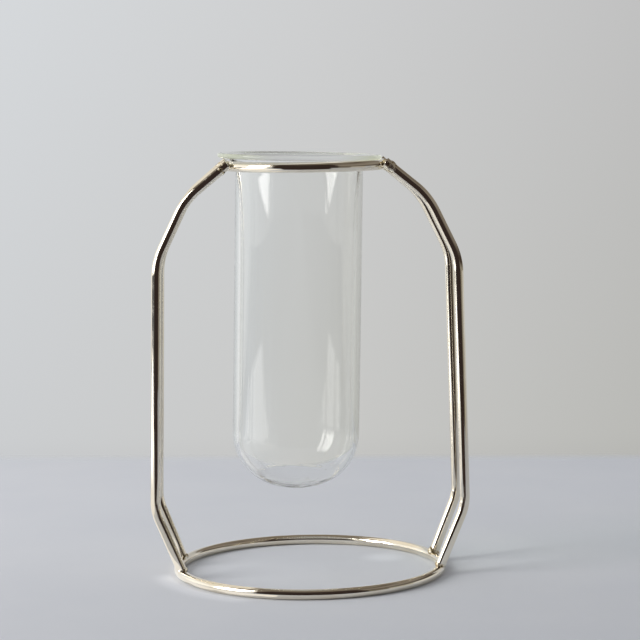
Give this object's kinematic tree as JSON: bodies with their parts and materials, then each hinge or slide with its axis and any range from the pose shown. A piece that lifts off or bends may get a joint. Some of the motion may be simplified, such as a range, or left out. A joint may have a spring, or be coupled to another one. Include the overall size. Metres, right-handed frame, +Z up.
{
  "type": "test tube vase",
  "caption": "Bent wire stand of two rings joined by slender uprights, with a lipped glass test tube that hangs in the top ring and lifts out.",
  "frame": {"origin": "on the table, at the middle of the base ring", "axes": "+Z up; the front of the vase faces -Y; the pairs of uprights stand at -X and +X"},
  "size_m": [0.1252, 0.1082, 0.1666],
  "materials": {
    "wire": "polished warm silver plating",
    "braze": "lumpy plated braze, duller and a little darker than the wire",
    "glass": "clear glass, faintly green through its edges"
  },
  "bodies": {
    "frame": {"base_ring": "wire", "top_ring": "wire", "front_left_upright": "wire", "rear_left_upright": "wire", "front_right_upright": "wire", "rear_right_upright": "wire", "front_left_foot_braze": "braze", "rear_left_foot_braze": "braze", "front_right_foot_braze": "braze", "rear_right_foot_braze": "braze", "front_left_top_braze": "braze", "rear_left_top_braze": "braze", "front_right_top_braze": "braze", "rear_right_top_braze": "braze"},
    "tube": {"glass_tube": "glass"}
  },
  "joints": [
    {"name": "tube_lift", "type": "slide", "parent": "frame", "child": "tube", "axis": [0.0253, 0, 0.9997], "range_m": [0, 0.135]}
  ]
}
